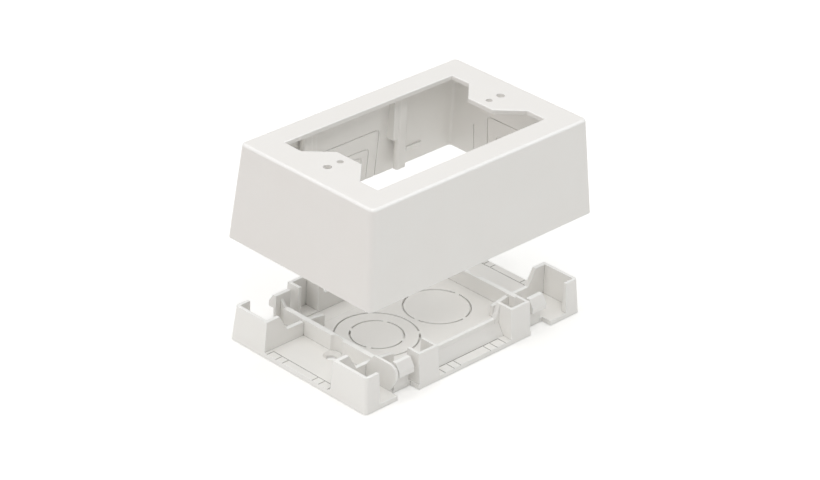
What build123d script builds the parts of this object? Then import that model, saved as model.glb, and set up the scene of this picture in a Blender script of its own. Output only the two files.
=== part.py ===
from build123d import *
import os

os.makedirs("parts", exist_ok=True)

# Driving dimensions of the cover, in millimetres.
cover_length = 126.6
cover_width = 81.6
cover_height = 42.0
taper_x = 3.0
taper_y = 3.7
wall = 1.3
face_thickness = 2.0
cover_corner = 2.6
cover_edge_fillet = 1.5
cover_lift = 47.0

# Window and screw ears in the face of the cover.
window_half_x = 46.8
window_half_y = 26.0
ear_root_half = 16.4
ear_tip_x = 36.6
ear_tip_half = 6.9
device_pitch = 83.34
plate_pitch = 96.84
device_hole = 2.9
plate_hole = 3.6
ear_edge_fillet = 0.5

# Running clearance between the walls of the cover and the base.
fit_gap = 0.2

# Base plate.
plate_thickness = 2.0
base_corner = 1.6
base_length = cover_length - 2 * wall - 2 * fit_gap
base_width = cover_width - 2 * wall - 2 * fit_gap
half_l = base_length / 2
half_w = base_width / 2
slope_x = taper_x / cover_height
slope_y = taper_y / cover_height

# Posts that guide the cover.
post_height = 15.5
post_inner_x = 21.0
post_outer_x = 31.8
post_back_y = half_w - 8.1
post_wall = 1.4
socket_front_y = half_w - 2.7

# Rims and ramps around the wiring compartment.
rim_height = 9.2
rim_inner_y = post_back_y - 1.7
ramp_top_z = 7.2
ramp_foot_y = half_w - 4.9
rim_slope_run = 2.2
end_rim_inner_x = 37.8
end_rim_outer_x = 40.2

# Return walls: high at the corner blocks, low where they cross the end rims.
return_inner_y = 19.1
return_outer_y = 20.9
return_full_x = 53.6
return_drop_x = 49.4
return_low_z = 8.2
return_end_x = 28.5
return_end_z = 6.8

# Corner blocks.
block_wall = 1.5
block_return_x = 53.8

# Snap latches and the notches they stand in.
notch_inner_x = 32.4
notch_outer_x = 44.2
latch_inner_x = 34.2
latch_outer_x = 42.2
latch_tip_y = half_w - 1.5
latch_edge_y = latch_tip_y - 2.3
latch_stem_y = latch_tip_y - 2.8
latch_back_y = latch_tip_y - 4.2
notch_y = latch_stem_y - 0.6
latch_top_z = 14.4
latch_tip_z = 10.9
latch_under_z = 8.4
catch_gap = 0.25

# Buttresses that join the end rims to the backs of the latches.
end_rim_half_y = latch_back_y - 2.6
buttress_thickness = 1.2
buttress_height = 12.4

# Guards that stand beside two of the latches, at opposite corners.
guard_inner_x = 42.9
guard_outer_x = 44.1
guard_height = 13.9
guard_start_y = return_outer_y + 4.1
guard_edge_y = latch_tip_y
guard_nose = 4.0
guard_waist_z = 8.0

# Floor of the compartment, its knockouts and the mounting holes.
floor_step_x = 29.7
floor_step_y = return_outer_y + 0.3
floor_step_depth = 0.7
knockout_x = 17.3
half_inch_knockout = 22.2
one_inch_knockout = 34.9
three_quarter_knockout = 28.2
groove_width = 0.8
groove_depth = 1.4
web_width = 2.0
mount_hole_x = 42.6
mount_hole = 4.2
mount_countersink = 7.2
mount_countersink_depth = 1.1
mount_relief = 8.4

# Width marks for three sizes of raceway, and the breakouts that match them.
raceway_halves = (17.7, 12.6, 8.8)
breakout_heights = (22.6, 15.3, 12.3)
mark_width = 0.35
mark_depth = 0.3
score_width = 0.6
score_depth = 0.35
score_radius = 2.5
score_reach = 6.0
side_score_y = 25.0
mark_x = 57.8

# Guide legs and catches inside the cover.
leg_inner_x = 24.1
leg_outer_x = 29.6
leg_back_y = socket_front_y - 0.6
leg_front_y = leg_back_y - 2.8
leg_corner = 1.2
leg_foot_z = 2.8
web_foot_z = post_height + 1.5
web_reach = 2.2
web_front_y = leg_front_y + 0.3
catch_inner_x = 34.4
catch_outer_x = 43.2
catch_top_z = 8.2
catch_edge_z = 6.8
catch_foot_z = 5.2
catch_face_y = latch_tip_y + catch_gap
cavity_corner = 1.3
overlap = 0.2

signs = (-1, 1)
corners = ((-1, -1), (1, -1), (1, 1), (-1, 1))


def span(a, b, sign):
    """The ends of the interval from a to b, mirrored for a negative sign."""
    low, high = sorted((sign * a, sign * b))
    return low, high


def cuboid(x, y, z, mode=Mode.ADD):
    """A box between the pairs of limits x, y and z."""
    with BuildSketch(Plane.XY.offset(z[0])) as outline:
        with Locations(((x[0] + x[1]) / 2, (y[0] + y[1]) / 2)):
            Rectangle(x[1] - x[0], y[1] - y[0])
    extrude(outline.sketch, amount=z[1] - z[0], mode=mode)


def profile_along_x(points, x, mode=Mode.ADD):
    """A prism whose outline in Y and Z is given, between the limits x."""
    with BuildSketch(Plane.YZ.offset(x[0])) as outline:
        with BuildLine():
            Polyline(*points, close=True)
        make_face()
    extrude(outline.sketch, amount=x[1] - x[0], mode=mode)


def profile_along_y(points, y, mode=Mode.ADD):
    """A prism whose outline in X and Z is given, between the limits y."""
    with BuildSketch(Plane.XZ.offset(-y[1])) as outline:
        with BuildLine():
            Polyline(*points, close=True)
        make_face()
    extrude(outline.sketch, amount=y[1] - y[0], mode=mode)


def tapered_block(length, width, z):
    """A block that follows the draft of the cover between two heights z."""
    half_x = length / 2
    half_y = width / 2
    draft_x = slope_x * (z[1] - z[0])
    draft_y = slope_y * (z[1] - z[0])
    with BuildPart() as block:
        profile_along_y(
            ((-half_x, z[0]), (half_x, z[0]), (half_x - draft_x, z[1]), (draft_x - half_x, z[1])),
            (-half_y, half_y),
        )
        profile_along_x(
            ((-half_y, z[0]), (half_y, z[0]), (half_y - draft_y, z[1]), (draft_y - half_y, z[1])),
            (-half_x, half_x),
            Mode.INTERSECT,
        )
    return block


def upright_edges(block, z):
    """The four corner edges of a tapered block between two heights z."""
    return [edge for edge in block.edges() if edge.bounding_box().size.Z > (z[1] - z[0]) / 2]


def broken_ring(x, diameter, first_angle):
    """A shallow ring groove, interrupted by four webs that hold the disc."""
    top = plate_thickness
    with BuildSketch(Plane.XY.offset(top - groove_depth)) as ring:
        with Locations((x, 0)):
            Circle(diameter / 2 + groove_width / 2)
            Circle(diameter / 2 - groove_width / 2, mode=Mode.SUBTRACT)
            with PolarLocations(diameter / 2, 4, start_angle=first_angle):
                Rectangle(3 * groove_width, web_width, mode=Mode.SUBTRACT)
    extrude(ring.sketch, amount=groove_depth, mode=Mode.SUBTRACT)


def mark(x, y, top):
    """A fine engraved line in a level surface of height top."""
    cuboid(x, y, (top - mark_depth, top), Mode.SUBTRACT)


with BuildPart() as base_envelope:
    envelope_z = (0, post_height)
    add(tapered_block(base_length, base_width, envelope_z).part)
    fillet(upright_edges(base_envelope, envelope_z), base_corner)

with BuildPart() as base:
    cuboid((-half_l, half_l), (-half_w, half_w), (0, plate_thickness))
    for sx in signs:
        cuboid(
            span(end_rim_inner_x, end_rim_outer_x, sx),
            (-end_rim_half_y, end_rim_half_y),
            (0, rim_height),
        )
    for sy in signs:
        cuboid(
            (-post_inner_x, post_inner_x),
            span(rim_inner_y, post_back_y, sy),
            (0, rim_height),
        )
        profile_along_x(
            (
                (sy * post_back_y, 0),
                (sy * ramp_foot_y, 0),
                (sy * ramp_foot_y, plate_thickness),
                (sy * post_back_y, ramp_top_z),
            ),
            (-post_inner_x, post_inner_x),
        )
    for sx, sy in corners:
        cuboid(span(post_inner_x, post_outer_x, sx), span(post_back_y, half_w, sy), (0, post_height))
        profile_along_y(
            (
                (sx * (post_inner_x - rim_slope_run), rim_height),
                (sx * post_inner_x, post_height),
                (sx * (post_inner_x + post_wall), post_height),
                (sx * (post_inner_x + post_wall), 0),
                (sx * (post_inner_x - rim_slope_run), 0),
            ),
            span(rim_inner_y, post_back_y + overlap, sy),
        )
        profile_along_y(
            (
                (sx * return_end_x, 0),
                (sx * half_l, 0),
                (sx * half_l, post_height),
                (sx * return_full_x, post_height),
                (sx * return_drop_x, return_low_z),
                (sx * end_rim_inner_x, return_low_z),
                (sx * return_end_x, return_end_z),
            ),
            span(return_inner_y, return_outer_y, sy),
        )
        block_back_x = half_l - 2 * block_wall
        block_back_y = half_w - 2 * block_wall
        cuboid(span(block_back_x, half_l, sx), span(return_inner_y, half_w, sy), (0, post_height))
        cuboid(span(block_return_x, half_l, sx), span(block_back_y, half_w, sy), (0, post_height))
        # A buttress that joins the end rim to the back of the latch.
        rim_middle_x = (end_rim_inner_x + end_rim_outer_x) / 2
        profile_along_x(
            (
                (sy * (end_rim_half_y - overlap), 0),
                (sy * (latch_back_y + overlap), 0),
                (sy * (latch_back_y + overlap), buttress_height),
                (sy * (end_rim_half_y - overlap), rim_height),
            ),
            span(rim_middle_x - buttress_thickness / 2, rim_middle_x + buttress_thickness / 2, sx),
        )
    # Guards with a rounded nose, which keep fingers and cables off two of the latches.
    nose_y = guard_edge_y - guard_nose
    nose_z = guard_height - guard_nose
    nose = [Vector(guard_nose, 0, 0).rotate(Axis.Z, angle) for angle in (0, 22.5, 45, 67.5, 90)]
    for sign in signs:
        profile_along_x(
            (
                (sign * notch_y, 0),
                (sign * notch_y, plate_thickness),
                (sign * guard_edge_y, guard_waist_z),
                *((sign * (nose_y + point.X), nose_z + point.Y) for point in nose),
                (sign * guard_start_y, guard_height),
                (sign * return_outer_y, return_low_z),
                (sign * return_inner_y, return_low_z),
                (sign * return_inner_y, 0),
            ),
            span(guard_inner_x, guard_outer_x, sign),
        )
    # The outer faces all follow the draft of the cover.
    add(base_envelope.part, mode=Mode.INTERSECT)
    for sx, sy in corners:
        # Hollows of the posts, open at the top and toward the compartment.
        cuboid(
            span(post_inner_x + post_wall, post_outer_x - post_wall, sx),
            span(rim_inner_y - overlap, socket_front_y, sy),
            (plate_thickness, post_height),
            Mode.SUBTRACT,
        )
        # Hollows of the corner blocks.
        inner_x = half_l - slope_x * post_height - block_wall
        inner_y = half_w - slope_y * post_height - block_wall
        cuboid(
            span(return_full_x - overlap, inner_x, sx),
            span(return_outer_y, inner_y, sy),
            (plate_thickness, post_height),
            Mode.SUBTRACT,
        )
        # Notches in the edge of the plate that give the latches room.
        cuboid(
            span(notch_inner_x, notch_outer_x, sx),
            span(notch_y, half_w + 1, sy),
            (0, plate_thickness),
            Mode.SUBTRACT,
        )
        profile_along_x(
            (
                (sy * latch_back_y, 0),
                (sy * notch_y, 0),
                (sy * latch_stem_y, plate_thickness),
                (sy * latch_stem_y, latch_under_z),
                (sy * latch_tip_y, latch_under_z),
                (sy * latch_tip_y, latch_tip_z),
                (sy * latch_edge_y, latch_top_z),
                (sy * latch_back_y, latch_top_z),
            ),
            span(latch_inner_x, latch_outer_x, sx),
        )
    # The floor beside the long rims is a step lower.
    for sy in signs:
        cuboid(
            (-floor_step_x, floor_step_x),
            span(floor_step_y, rim_inner_y, sy),
            (plate_thickness - floor_step_depth, plate_thickness),
            Mode.SUBTRACT,
        )
    broken_ring(-knockout_x, half_inch_knockout, 28)
    broken_ring(-knockout_x, one_inch_knockout, 55)
    broken_ring(knockout_x, three_quarter_knockout, 8)
    # Countersunk mounting holes with room for the screwdriver beside the rim.
    for sx in signs:
        with BuildSketch(Plane.XY):
            with Locations((sx * mount_hole_x, 0)):
                Circle(mount_hole / 2)
        extrude(amount=plate_thickness, mode=Mode.SUBTRACT)
        with BuildSketch(Plane.XY.offset(plate_thickness - mount_countersink_depth)):
            with Locations((sx * mount_hole_x, 0)):
                Circle(mount_hole / 2)
        with BuildSketch(Plane.XY.offset(plate_thickness)):
            with Locations((sx * mount_hole_x, 0)):
                Circle(mount_countersink / 2)
        loft(mode=Mode.SUBTRACT)
        with BuildSketch(Plane.XY.offset(plate_thickness)):
            with Locations((sx * mount_hole_x, 0)):
                Circle(mount_relief / 2)
        extrude(amount=rim_height, mode=Mode.SUBTRACT)
    # Width marks on the entry strips of all four sides.
    longest = raceway_halves[0]
    for sy in signs:
        line_y = ramp_foot_y + mark_width / 2
        mark((-longest, longest), span(ramp_foot_y, ramp_foot_y + mark_width, sy), plate_thickness)
        for half in raceway_halves:
            for sx in signs:
                mark(
                    span(half - mark_width, half, sx),
                    span(line_y, half_w + 1, sy),
                    plate_thickness,
                )
    for sx in signs:
        mark(span(mark_x, mark_x + mark_width, sx), (-longest, longest), plate_thickness)
        for half in raceway_halves:
            for sy in signs:
                mark(
                    span(mark_x, half_l + 1, sx),
                    span(half - mark_width, half, sy),
                    plate_thickness,
                )
base.part.label = "base"
export_step(base.part, "parts/base.step")


def inner_half_x(z):
    """Half the clear length between the end walls of the cover at height z."""
    return cover_length / 2 - wall - slope_x * z


def inner_half_y(z):
    """Half the clear width between the long walls of the cover at height z."""
    return cover_width / 2 - wall - slope_y * z


bottom = cover_lift
top = cover_lift + cover_height
cavity_top = top - face_thickness
cavity_height = cavity_top - bottom


def score_lines(wall_plane):
    """The three nested breakout lines, cut shallowly from a plane."""
    for half, height in zip(raceway_halves, breakout_heights):
        with BuildSketch(wall_plane) as line:
            RectangleRounded(2 * half, 2 * height, score_radius)
            RectangleRounded(
                2 * (half - score_width),
                2 * (height - score_width),
                score_radius - score_width / 2,
                mode=Mode.SUBTRACT,
            )
            Rectangle(2 * half, 2 * height, align=(Align.CENTER, Align.MAX), mode=Mode.SUBTRACT)
        extrude(line.sketch, amount=score_reach)


with BuildPart() as score_tool:
    for angle in (0, 90, 180, 270):
        reach = cover_width / 2 if angle % 180 == 0 else cover_length / 2
        direction = Vector(0, 1, 0).rotate(Axis.Z, angle)
        side = Vector(-1, 0, 0).rotate(Axis.Z, angle)
        start = direction * (reach - wall - score_reach + 1) + Vector(0, 0, bottom)
        score_lines(Plane(origin=start, x_dir=side, z_dir=direction))
    # An upright line on the end walls, beside the breakouts.
    for sx, sy in corners:
        cuboid(
            span(inner_half_x(breakout_heights[1]) - overlap, cover_length / 2, sx),
            span(side_score_y, side_score_y + score_width, sy),
            (bottom, bottom + breakout_heights[1]),
        )
    score_length = 2 * (inner_half_x(0) + score_depth)
    score_width_over = 2 * (inner_half_y(0) + score_depth)
    add(tapered_block(score_length, score_width_over, (bottom, cavity_top)).part, mode=Mode.INTERSECT)

with BuildPart() as cavity:
    cavity_z = (bottom, cavity_top)
    add(tapered_block(2 * inner_half_x(0), 2 * inner_half_y(0), cavity_z).part)
    fillet(upright_edges(cavity, cavity_z), cavity_corner)

with BuildPart() as cover:
    cover_z = (bottom, top)
    add(tapered_block(cover_length, cover_width, cover_z).part)
    fillet(upright_edges(cover, cover_z), cover_corner)
    fillet(cover.edges().group_by(Axis.Z)[-1], cover_edge_fillet)
    add(cavity.part, mode=Mode.SUBTRACT)
    with BuildSketch(Plane.XY.offset(cavity_top)):
        Rectangle(2 * window_half_x, 2 * window_half_y)
        for sx in signs:
            with BuildLine():
                Polyline(
                    (sx * (window_half_x + 1), -ear_root_half),
                    (sx * window_half_x, -ear_root_half),
                    (sx * ear_tip_x, -ear_tip_half),
                    (sx * ear_tip_x, ear_tip_half),
                    (sx * window_half_x, ear_root_half),
                    (sx * (window_half_x + 1), ear_root_half),
                    close=True,
                )
            make_face(mode=Mode.SUBTRACT)
    extrude(amount=face_thickness, mode=Mode.SUBTRACT)
    window_rim = [e for e in cover.edges().group_by(Axis.Z)[-1] if abs(e.center().Y) < window_half_y + 1]
    window_rim = [e for e in window_rim if abs(e.center().X) < window_half_x + 1]
    fillet(window_rim, ear_edge_fillet)
    for sx in signs:
        with BuildSketch(Plane.XY.offset(cavity_top)):
            with Locations((sx * device_pitch / 2, 0)):
                Circle(device_hole / 2)
            with Locations((sx * plate_pitch / 2, 0)):
                Circle(plate_hole / 2)
        extrude(amount=face_thickness, mode=Mode.SUBTRACT)
    # Guide legs: joined to the wall above the posts, free of it below.
    for sx, sy in corners:
        with BuildSketch(Plane.XY.offset(bottom + leg_foot_z)) as outline:
            with Locations((sx * (leg_inner_x + leg_outer_x) / 2, sy * (leg_front_y + leg_back_y) / 2)):
                RectangleRounded(leg_outer_x - leg_inner_x, leg_back_y - leg_front_y, leg_corner)
        extrude(outline.sketch, amount=cavity_height - leg_foot_z + overlap)
        profile_along_x(
            (
                (sy * web_front_y, bottom + web_foot_z),
                (sy * (inner_half_y(web_foot_z) + overlap), bottom + web_foot_z),
                (sy * (inner_half_y(cavity_height) + overlap), cavity_top + overlap),
                (sy * web_front_y, cavity_top + overlap),
            ),
            span(leg_inner_x - web_reach, leg_outer_x - leg_corner, sx),
        )
        # Catches that sit under the barbs of the latches.
        profile_along_x(
            (
                (sy * catch_face_y, bottom + catch_top_z),
                (sy * (inner_half_y(catch_top_z) + overlap), bottom + catch_top_z),
                (sy * (inner_half_y(catch_foot_z) + overlap), bottom + catch_foot_z),
                (sy * catch_face_y, bottom + catch_edge_z),
            ),
            span(catch_inner_x, catch_outer_x, sx),
        )
    add(score_tool.part, mode=Mode.SUBTRACT)
cover.part.label = "cover"
export_step(cover.part, "parts/cover.step")
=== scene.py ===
# %% [markdown]
# # A low voltage junction box in off-white ABS
#
# The real object is a surface raceway box in two moulded pieces: a flat base that is
# screwed to the wall, and a tapered cover that snaps round it. The picture shows the
# cover lifted straight off the base. Both pieces come from the CAD frame at their real
# size, in metres. They could be built again here as meshes, but their shape is already
# right, so this file only dresses them: the plastic with its edges and grooves, the light
# and the camera.

# %% Load the frame
import math

import bmesh
import bpy
from mathutils import Matrix, Vector

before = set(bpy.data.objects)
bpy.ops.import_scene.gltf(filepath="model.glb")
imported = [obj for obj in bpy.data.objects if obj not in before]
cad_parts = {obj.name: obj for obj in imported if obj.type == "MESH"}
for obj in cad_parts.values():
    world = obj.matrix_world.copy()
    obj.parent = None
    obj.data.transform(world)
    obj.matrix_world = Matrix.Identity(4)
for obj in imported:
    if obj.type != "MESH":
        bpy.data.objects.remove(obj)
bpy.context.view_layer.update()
base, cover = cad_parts["base"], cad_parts["cover"]
millimetre = 0.001


# %% [markdown]
# ## The camera
#
# A camera is a point, a direction and a lens. Here the direction is given by two angles
# and a small roll, as a photographer would describe a tripod head. The focal length was
# found in pixels of the picture, 820 wide, and a long lens keeps the edges nearly
# parallel, as product pictures do.

# %% Camera
picture_width = 820
sensor_width = 36.0
focal_pixels = 3051
turn = math.radians(43.77)
dip = math.radians(28.73)
roll = math.radians(2.74)
camera_distance = 1.220
camera_shift_right = -0.00126
camera_shift_up = -0.01797
aim_height = 0.060
clip_end = 20.0


def camera_axes():
    """Right, up and forward of the tripod head, as unit vectors."""
    level_forward = Vector((math.cos(turn), math.sin(turn), 0.0))
    forward = level_forward * math.cos(dip) - Vector((0.0, 0.0, math.sin(dip)))
    level_right = Vector((math.sin(turn), -math.cos(turn), 0.0))
    level_up = level_right.cross(forward)
    right = level_right * math.cos(roll) + level_up * math.sin(roll)
    up = level_up * math.cos(roll) - level_right * math.sin(roll)
    return right, up, forward


def make_camera():
    """A camera on that tripod head, moved back from the middle of the object."""
    right, up, forward = camera_axes()
    data = bpy.data.cameras.new("product_camera")
    data.sensor_width = sensor_width
    data.lens = focal_pixels / picture_width * sensor_width
    data.clip_end = clip_end
    camera = bpy.data.objects.new("product_camera", data)
    bpy.context.scene.collection.objects.link(camera)
    place = Vector((0.0, 0.0, aim_height)) - forward * camera_distance
    place += right * camera_shift_right + up * camera_shift_up
    turned = Matrix((right, up, -forward)).transposed().to_4x4()
    camera.matrix_world = Matrix.Translation(place) @ turned
    return camera


bpy.context.scene.camera = make_camera()
print("camera lens, in mm:", round(bpy.context.scene.camera.data.lens, 1))

# %% [markdown]
# ## Colours and nodes
#
# A colour that is read off a screen is an sRGB value, but a shader works with linear
# light, so one function turns hex values to linear. A second small function adds a node
# with its settings and links, which keeps each material short to read. A Mix node has
# inputs for every kind of value, so its two colours are found by number.

# %% Helpers for materials


def linear(hex_colour):
    """A linear RGBA colour from an sRGB hex value such as ECECE6."""
    channels = [int(hex_colour[i : i + 2], 16) / 255 for i in (0, 2, 4)]
    # The sRGB curve is a straight line near black and a power above it.
    light = [c / 12.92 if c <= 0.04045 else ((c + 0.055) / 1.055) ** 2.4 for c in channels]
    return light + [1.0]


def add_node(tree, kind, settings=None, inputs=None):
    """A new node; an input that is a socket is linked, and any other is set."""
    node = tree.nodes.new(kind)
    for name, value in (settings or {}).items():
        setattr(node, name, value)
    for name, value in (inputs or {}).items():
        if isinstance(value, bpy.types.NodeSocket):
            tree.links.new(value, node.inputs[name])
        else:
            node.inputs[name].default_value = value
    return node


def new_material(name):
    """An empty node material and its tree."""
    material = bpy.data.materials.new(name)
    material.use_nodes = True
    material.node_tree.nodes.clear()
    return material, material.node_tree


mix_first, mix_second, mixed = 6, 7, 2
print("linear value of a mid grey:", round(linear("808080")[0], 3))

# %% [markdown]
# ## The colour of moulded ABS
#
# The box is injection moulded in ABS, a hard plastic. It is an off-white that leans a
# little to yellow, with a very faint cloudiness from the flow of the melt. A painted
# picture could hold that, but a slow noise between two close whites needs no picture and
# has no seams.

# %% Colour
abs_light = "F3F2EF"
abs_warm = "F1EFEB"
cloud_size = 18.0
cloud_detail = 3.0


def flow_colour(tree, place):
    """The two close whites that the flow of the melt leaves, in slow clouds."""
    clouds = add_node(
        tree,
        "ShaderNodeTexNoise",
        inputs={
            "Vector": place,
            "Scale": 1 / (cloud_size * millimetre),
            "Detail": cloud_detail,
        },
    )
    whites = add_node(
        tree,
        "ShaderNodeMix",
        {"data_type": "RGBA"},
        {
            "Factor": clouds.outputs["Fac"],
            mix_first: linear(abs_light),
            mix_second: linear(abs_warm),
        },
    )
    return whites.outputs[mixed]


print("flow clouds, in mm:", cloud_size)

# %% [markdown]
# ## Painted highlight on edges and wall tops
#
# A painted highlight makes the sharp edges, the rounded top edge of the cover and the
# narrow tops of the base's walls a little lighter, standing in for reflections and for
# light from above. These places are a little glossier as well. They could be painted by
# hand, but the shape itself says where they are. At a sharp edge the normal that the
# Bevel node rounds off differs from the true one. The rounded top edge of the cover is
# found by its slope, which is the Z part of the normal: 0 on a wall and 1 on the face.
# The wall tops face up too, and lie higher than the plate.

# %% Painted highlight and gloss places
painted_highlight_colour = "FFFFFD"
highlight_edge_reach = 0.8
bevel_samples = 8
sharp_edge_starts, sharp_edge_full = 0.99, 0.82
# What is read, where the highlight starts, and where it is full. All have to be met.
cover_highlight_and_gloss = [("slope", 0.2, 0.5), ("slope", 0.995, 0.9)]
base_highlight_and_gloss = [("slope", 0.8, 0.97), ("height", 5.5 * millimetre, 6.5 * millimetre)]


def highlight_and_gloss_places(tree, limits):
    """1 at sharp edges and where all the limits are met, and 0 on the grained faces."""
    wide = add_node(
        tree,
        "ShaderNodeBevel",
        {"samples": bevel_samples},
        {"Radius": highlight_edge_reach * millimetre},
    )
    true_face = add_node(tree, "ShaderNodeNewGeometry")
    meeting = add_node(
        tree,
        "ShaderNodeVectorMath",
        {"operation": "DOT_PRODUCT"},
        {0: wide.outputs["Normal"], 1: true_face.outputs["Normal"]},
    )
    sharp = add_node(
        tree,
        "ShaderNodeMapRange",
        inputs={
            "Value": meeting.outputs["Value"],
            "From Min": sharp_edge_starts,
            "From Max": sharp_edge_full,
        },
    )
    place = add_node(tree, "ShaderNodeTexCoord")
    slope = add_node(
        tree, "ShaderNodeSeparateXYZ", inputs={"Vector": place.outputs["Normal"]}
    )
    height = add_node(
        tree, "ShaderNodeSeparateXYZ", inputs={"Vector": place.outputs["Object"]}
    )
    measures = {"slope": slope.outputs["Z"], "height": height.outputs["Z"]}
    highlight_and_gloss = 1.0
    for measure, start, full in limits:
        met = add_node(
            tree,
            "ShaderNodeMapRange",
            inputs={"Value": measures[measure], "From Min": start, "From Max": full},
        )
        both = add_node(
            tree,
            "ShaderNodeMath",
            {"operation": "MULTIPLY"},
            {0: highlight_and_gloss, 1: met.outputs["Result"]},
        )
        highlight_and_gloss = both.outputs[0]
    either = add_node(
        tree,
        "ShaderNodeMath",
        {"operation": "MAXIMUM"},
        {0: sharp.outputs["Result"], 1: highlight_and_gloss},
    )
    return either.outputs[0]


print("rubbed edge, in mm:", highlight_edge_reach)

# %% [markdown]
# ## Grooves
#
# Down in a score line or a knockout groove less light arrives than a small render can
# show, because the line is about a pixel wide. Deeper grooves would be wrong, so an
# ambient occlusion node with a very short reach finds them, and a darker painted shade is
# mixed in there. It also falls in a thin line along inner corners.

# %% Groove shade
groove_reach = 0.6
groove_samples = 12
groove_dark, groove_open = 0.3, 0.75


def groove_light(tree):
    """1 on open faces, falling towards 0 down in a score line or a knockout groove."""
    nearness = add_node(
        tree,
        "ShaderNodeAmbientOcclusion",
        {"samples": groove_samples, "only_local": True},
        {"Distance": groove_reach * millimetre},
    )
    light = add_node(
        tree,
        "ShaderNodeMapRange",
        inputs={
            "Value": nearness.outputs["AO"],
            "From Min": groove_dark,
            "From Max": groove_open,
        },
    )
    return light.outputs["Result"]


print("groove reach, in mm:", groove_reach)

# %% [markdown]
# ## The finished plastic
#
# ABS has an index of refraction of about 1.54. Its grain is far finer than any mesh, so
# it is bump, drawn a little coarser than the real one to show at this picture size. A
# second Bevel node gives sharp edges the small radius that every moulding has. Real
# bevels on the mesh would look the same, but the CAD pieces stay as they are.

# %% ABS
abs_ior = 1.54
grain_size = 0.45
grain_detail = 2.0
edge_radius = 0.35
sheen_spread = 0.04
rubbed_gloss = 0.16


def abs_plastic(name, roughness, grain_height, groove_shade, highlight_and_gloss_limits):
    """Off-white ABS; grain_height is the depth of the moulded grain in mm."""
    material, tree = new_material(name)
    place = add_node(tree, "ShaderNodeTexCoord").outputs["Object"]
    soft_edges = add_node(
        tree,
        "ShaderNodeBevel",
        {"samples": bevel_samples},
        {"Radius": edge_radius * millimetre},
    )
    highlight_and_gloss = highlight_and_gloss_places(tree, highlight_and_gloss_limits)
    # A painted highlight: a lighter white mixed in at the edges and the wall tops.
    highlighted = add_node(
        tree,
        "ShaderNodeMix",
        {"data_type": "RGBA"},
        {
            "Factor": highlight_and_gloss,
            mix_first: flow_colour(tree, place),
            mix_second: linear(painted_highlight_colour),
        },
    )
    # Painted shade in the grooves and in a thin line along inner corners.
    shaded = add_node(
        tree,
        "ShaderNodeMix",
        {"data_type": "RGBA"},
        {
            "Factor": groove_light(tree),
            mix_first: linear(groove_shade),
            mix_second: highlighted.outputs[mixed],
        },
    )
    grain = add_node(
        tree,
        "ShaderNodeTexNoise",
        inputs={
            "Vector": place,
            "Scale": 1 / (grain_size * millimetre),
            "Detail": grain_detail,
        },
    )
    sheen = add_node(
        tree,
        "ShaderNodeMapRange",
        inputs={
            "Value": grain.outputs["Fac"],
            "To Min": roughness - sheen_spread,
            "To Max": roughness + sheen_spread,
        },
    )
    polish = add_node(
        tree,
        "ShaderNodeMath",
        {"operation": "MULTIPLY_ADD"},
        {0: highlight_and_gloss, 1: -rubbed_gloss, 2: sheen.outputs["Result"]},
    )
    bump = add_node(
        tree,
        "ShaderNodeBump",
        inputs={
            "Height": grain.outputs["Fac"],
            "Distance": grain_height * millimetre,
            "Strength": 1.0,
            "Normal": soft_edges.outputs["Normal"],
        },
    )
    surface = add_node(
        tree,
        "ShaderNodeBsdfPrincipled",
        inputs={
            "Base Color": shaded.outputs[mixed],
            "Roughness": polish.outputs[0],
            "IOR": abs_ior,
            "Normal": bump.outputs["Normal"],
        },
    )
    add_node(tree, "ShaderNodeOutputMaterial", inputs={"Surface": surface.outputs["BSDF"]})
    return material


# %% [markdown]
# ## Two mould finishes
#
# The mould of the cover is spark eroded, which leaves a fine satin grain, so its
# highlights are broad and soft. The base comes from a smoother steel. It is the same
# plastic, so one function makes both, and only the finish and the shade in the grooves
# differ.

# %% Cover and base
spark_eroded = abs_plastic(
    "spark_eroded_abs",
    roughness=0.42,
    grain_height=0.04,
    groove_shade="DAD7D0",
    highlight_and_gloss_limits=cover_highlight_and_gloss,
)
satin = abs_plastic(
    "satin_abs",
    roughness=0.3,
    grain_height=0.01,
    groove_shade="A9A69D",
    highlight_and_gloss_limits=base_highlight_and_gloss,
)
for piece, material in ((cover, spark_eroded), (base, satin)):
    piece.data.materials.clear()
    piece.data.materials.append(material)
    print(piece.name, "is in", material.name)

# %% [markdown]
# ## Floor, background and light
#
# The picture has a plain white background. The floor is a wide pale sheet that keeps the
# object's soft shadow. What the camera and the reflections see of the floor and the
# world is lifted to white through the Light Path node, so the lamps can stay at a plain
# level, where a colour renders about as it is written.

# %% Floor
floor_size = 6.0
floor_drop = 0.0002
floor_colour = "F4F4F2"
floor_lift = 0.25


def white_paper():
    """Matt paper that glows a little, but only for the camera and for reflections."""
    material, tree = new_material("white_paper_sweep")
    path = add_node(tree, "ShaderNodeLightPath")
    seen = add_node(
        tree,
        "ShaderNodeMath",
        {"operation": "MAXIMUM"},
        {0: path.outputs["Is Camera Ray"], 1: path.outputs["Is Glossy Ray"]},
    )
    lift = add_node(
        tree, "ShaderNodeMath", {"operation": "MULTIPLY"}, {0: seen.outputs[0], 1: floor_lift}
    )
    paper = add_node(tree, "ShaderNodeBsdfDiffuse", inputs={"Color": linear(floor_colour)})
    glow = add_node(tree, "ShaderNodeEmission", inputs={"Strength": lift.outputs[0]})
    both = add_node(
        tree, "ShaderNodeAddShader", inputs={0: paper.outputs[0], 1: glow.outputs[0]}
    )
    add_node(tree, "ShaderNodeOutputMaterial", inputs={"Surface": both.outputs[0]})
    return material


def make_floor():
    """A wide sheet just under the object."""
    bm = bmesh.new()
    bmesh.ops.create_grid(bm, x_segments=1, y_segments=1, size=floor_size / 2)
    mesh = bpy.data.meshes.new("floor")
    bm.to_mesh(mesh)
    bm.free()
    floor = bpy.data.objects.new("floor", mesh)
    floor.location.z = -floor_drop
    bpy.context.scene.collection.objects.link(floor)
    mesh.materials.append(white_paper())
    return floor


floor = make_floor()
print("floor, in m:", floor_size)

# %% World
ambient = 0.38


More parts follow.
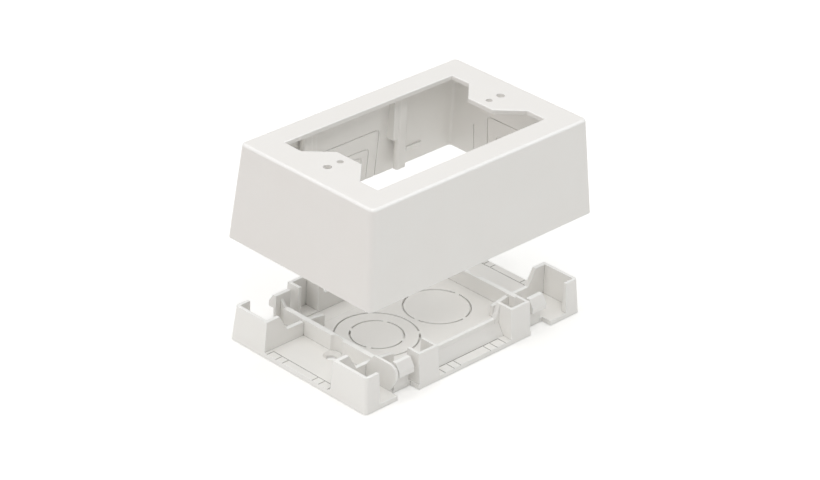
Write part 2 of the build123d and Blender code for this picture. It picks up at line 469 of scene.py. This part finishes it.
def make_world():
    """White for the camera and through clear things, and a plain grey light for the rest."""
    world = bpy.data.worlds.new("white_studio")
    bpy.context.scene.world = world
    world.use_nodes = True
    tree = world.node_tree
    tree.nodes.clear()
    path = add_node(tree, "ShaderNodeLightPath")
    seen = add_node(
        tree,
        "ShaderNodeMath",
        {"operation": "MAXIMUM"},
        {0: path.outputs["Is Camera Ray"], 1: path.outputs["Is Transmission Ray"]},
    )
    level = add_node(
        tree,
        "ShaderNodeMapRange",
        inputs={"Value": seen.outputs[0], "To Min": ambient, "To Max": 1.0},
    )
    sky = add_node(
        tree,
        "ShaderNodeBackground",
        inputs={"Color": linear("FFFFFF"), "Strength": level.outputs["Result"]},
    )
    add_node(tree, "ShaderNodeOutputWorld", inputs={"Surface": sky.outputs[0]})


make_world()
print("world light:", ambient)

# %% [markdown]
# ## Softboxes for two shots
#
# The picture is joined from two shots, one of each piece, so the cover throws almost no
# shade on the base. Light linking does the same: a lamp can be told which objects it
# lights and which objects shade it. The large softboxes are there twice, once for the
# cover and once for the base, and two of those for the base pass the cover by. Two small
# ones, high on the right and on the left, are mirrored by the rounded top edges of the
# cover and draw the bright line along them.

# %% Light linking


def light_set(name, *things):
    """A collection for light linking that holds these things."""
    collection = bpy.data.collections.new(name)
    for thing in things:
        collection.objects.link(thing)
    return collection


cover_picture = light_set("cover_picture", cover, floor)
base_picture = light_set("base_picture", base)
under_open_sky = light_set("under_open_sky", base, floor)
print("light sets:", [c.name for c in (cover_picture, base_picture, under_open_sky)])

# %% Lamps
lamps_look_at = Vector((0.0, 0.0, 0.04))
overhead = (0.1, 0.2, 1.6)
left = (-1.5, 0.1, 0.9)
front_high = (-0.7, -0.9, 1.4)
right_edge = (1.27, -0.96, 1.25)
left_edge = (-0.96, 1.2, 1.3)
# Name, place and size in m, watts, colour, what it lights and what shades it. With None
# it lights everything, or everything shades it.
softboxes = [
    ("overhead_on_cover", overhead, 1.6, 12.8, "FFFFFF", cover_picture, None),
    ("left_on_cover", left, 1.2, 3.0, "FFE9E6", cover_picture, None),
    ("front_high_on_cover", front_high, 0.6, 4.4, "FFFFFF", cover_picture, None),
    ("overhead_on_base", overhead, 1.6, 8.4, "FFFFFF", base_picture, under_open_sky),
    ("left_on_base", left, 1.2, 6.2, "FFFDFB", base_picture, under_open_sky),
    ("front_high_on_base", front_high, 0.6, 5.2, "FFFFFF", base_picture, None),
    ("right_edge_softbox", right_edge, 0.3, 3.4, "FFFFFF", None, None),
    ("left_edge_softbox", left_edge, 0.25, 2.0, "FFFFFF", None, None),
]


def softbox(name, place, size, watts, colour, lights, shaded_by):
    """A square area lamp that looks at the middle of the object."""
    data = bpy.data.lights.new(name, "AREA")
    data.shape = "SQUARE"
    data.size = size
    data.energy = watts
    data.color = linear(colour)[:3]
    lamp = bpy.data.objects.new(name, data)
    lamp.location = place
    lamp.rotation_mode = "QUATERNION"
    lamp.rotation_quaternion = (lamps_look_at - Vector(place)).to_track_quat("-Z", "Y")
    bpy.context.scene.collection.objects.link(lamp)
    lamp.light_linking.receiver_collection = lights
    lamp.light_linking.blocker_collection = shaded_by


for lamp_values in softboxes:
    softbox(*lamp_values)
print("softboxes:", len(softboxes))

# %% [markdown]
# ## From light to picture
#
# The renderer works with linear light, and a view transform turns that into the colours
# of a screen. A film-like transform would bend the whites of this box towards grey, so
# the plain one is chosen, which shows a colour as it is.

# %% View transform
bpy.context.scene.view_settings.view_transform = "Standard"
print("view transform:", bpy.context.scene.view_settings.view_transform)
